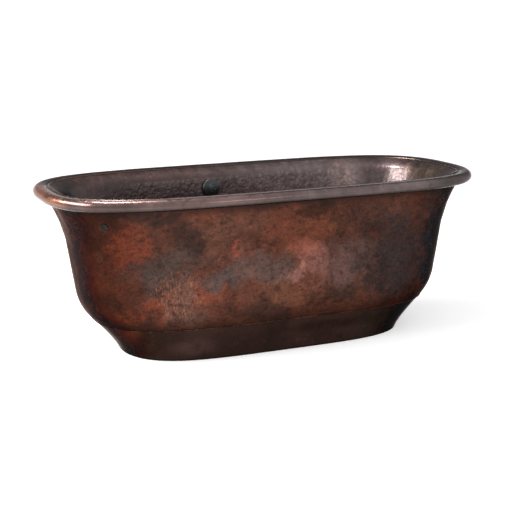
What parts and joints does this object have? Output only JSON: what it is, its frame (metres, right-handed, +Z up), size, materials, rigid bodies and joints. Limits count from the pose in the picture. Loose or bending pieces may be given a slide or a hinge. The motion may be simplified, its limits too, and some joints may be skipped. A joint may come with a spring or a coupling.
{
  "type": "freestanding bathtub",
  "caption": "Double-walled hammered copper bathtub with rolled rim, flared sides, tapered plinth, hidden levelling frame and a knob-driven pop-up waste.",
  "frame": {"origin": "middle of the footprint, on the floor", "axes": "+X along the length, +Y towards the overflow side, +Z up"},
  "size_m": [1.68, 0.8, 0.616],
  "materials": {
    "hammered_copper": "hand hammered, aged brown copper",
    "patina_copper": "fire-mottled red-brown copper, waxed",
    "rim_copper": "aged brown copper, rubbed lighter on the roll",
    "plinth_copper": "dark brown copper, glossy wax",
    "bead_copper": "bright brazed seam",
    "oil_rubbed_bronze": "oil-rubbed bronze, satin",
    "brass_fitting": "turned brass",
    "frame_steel": "black powder coat",
    "zinc_steel": "zinc plated",
    "foot_steel": "blackened steel",
    "black_rubber": "matte",
    "white_plastic": "matte moulded",
    "cable_sheath": "satin extruded"
  },
  "bodies": {
    "tub": {"inner_basin": "hammered_copper", "outer_shell": "patina_copper", "rolled_rim": "rim_copper", "rim_rod": "zinc_steel", "plinth_skirt": "plinth_copper", "seam_bead": "bead_copper", "maker_disc": "oil_rubbed_bronze", "frame_rails": "frame_steel", "cross_bearers": "frame_steel", "saddle_pads": "black_rubber", "frame_brackets": "frame_steel", "frame_bolts": "zinc_steel", "frame_nuts": "zinc_steel", "foot_inserts": "zinc_steel", "foot_locknuts": "zinc_steel", "drain_flange": "oil_rubbed_bronze", "drain_gasket": "black_rubber", "drain_shoe": "brass_fitting", "cable_ferrule": "brass_fitting", "drive_cable": "cable_sheath", "cable_guide": "brass_fitting", "tailpiece": "brass_fitting", "tailpiece_nut": "brass_fitting", "tailpiece_washer": "white_plastic", "overflow_hose": "white_plastic", "hose_clips": "zinc_steel", "overflow_elbow": "brass_fitting", "overflow_gasket": "black_rubber", "overflow_flange": "oil_rubbed_bronze", "flange_screws": "oil_rubbed_bronze"},
    "knob": {"overflow_knob": "oil_rubbed_bronze", "knob_spindle": "brass_fitting", "overflow_cam": "brass_fitting"},
    "plunger": {"cam_plunger": "zinc_steel"},
    "stopper": {"stopper_cap": "oil_rubbed_bronze", "stopper_seal": "black_rubber", "stopper_stem": "brass_fitting", "push_wire": "zinc_steel"},
    "foot_front_left": {"levelling_foot_front_left": "foot_steel"},
    "foot_front_right": {"levelling_foot_front_right": "foot_steel"},
    "foot_back_left": {"levelling_foot_back_left": "foot_steel"},
    "foot_back_right": {"levelling_foot_back_right": "foot_steel"}
  },
  "joints": [
    {"name": "knob_turn", "type": "hinge", "parent": "tub", "child": "knob", "pos_m": [-0.085, 0.29059, 0.532], "axis": [0, -0.9929, 0.1191], "range_deg": [0, 80]},
    {"name": "plunger_slide", "type": "slide", "parent": "tub", "child": "plunger", "axis": [0, -0.1191, -0.9929], "range_m": [0, 0.0121]},
    {"name": "stopper_lift", "type": "slide", "parent": "tub", "child": "stopper", "axis": [0, 0, 1], "range_m": [0, 0.0121]},
    {"name": "foot_front_left_screw", "type": "slide", "parent": "tub", "child": "foot_front_left", "axis": [0, 0, -1], "range_m": [0, 0.01]},
    {"name": "foot_front_right_screw", "type": "slide", "parent": "tub", "child": "foot_front_right", "axis": [0, 0, -1], "range_m": [0, 0.01]},
    {"name": "foot_back_left_screw", "type": "slide", "parent": "tub", "child": "foot_back_left", "axis": [0, 0, -1], "range_m": [0, 0.01]},
    {"name": "foot_back_right_screw", "type": "slide", "parent": "tub", "child": "foot_back_right", "axis": [0, 0, -1], "range_m": [0, 0.01]}
  ],
  "couplings": [
    {"joint": "plunger_slide", "follows": "knob_turn", "m_per_rad": 0.0085944},
    {"joint": "stopper_lift", "follows": "knob_turn", "m_per_rad": 0.0085944}
  ]
}
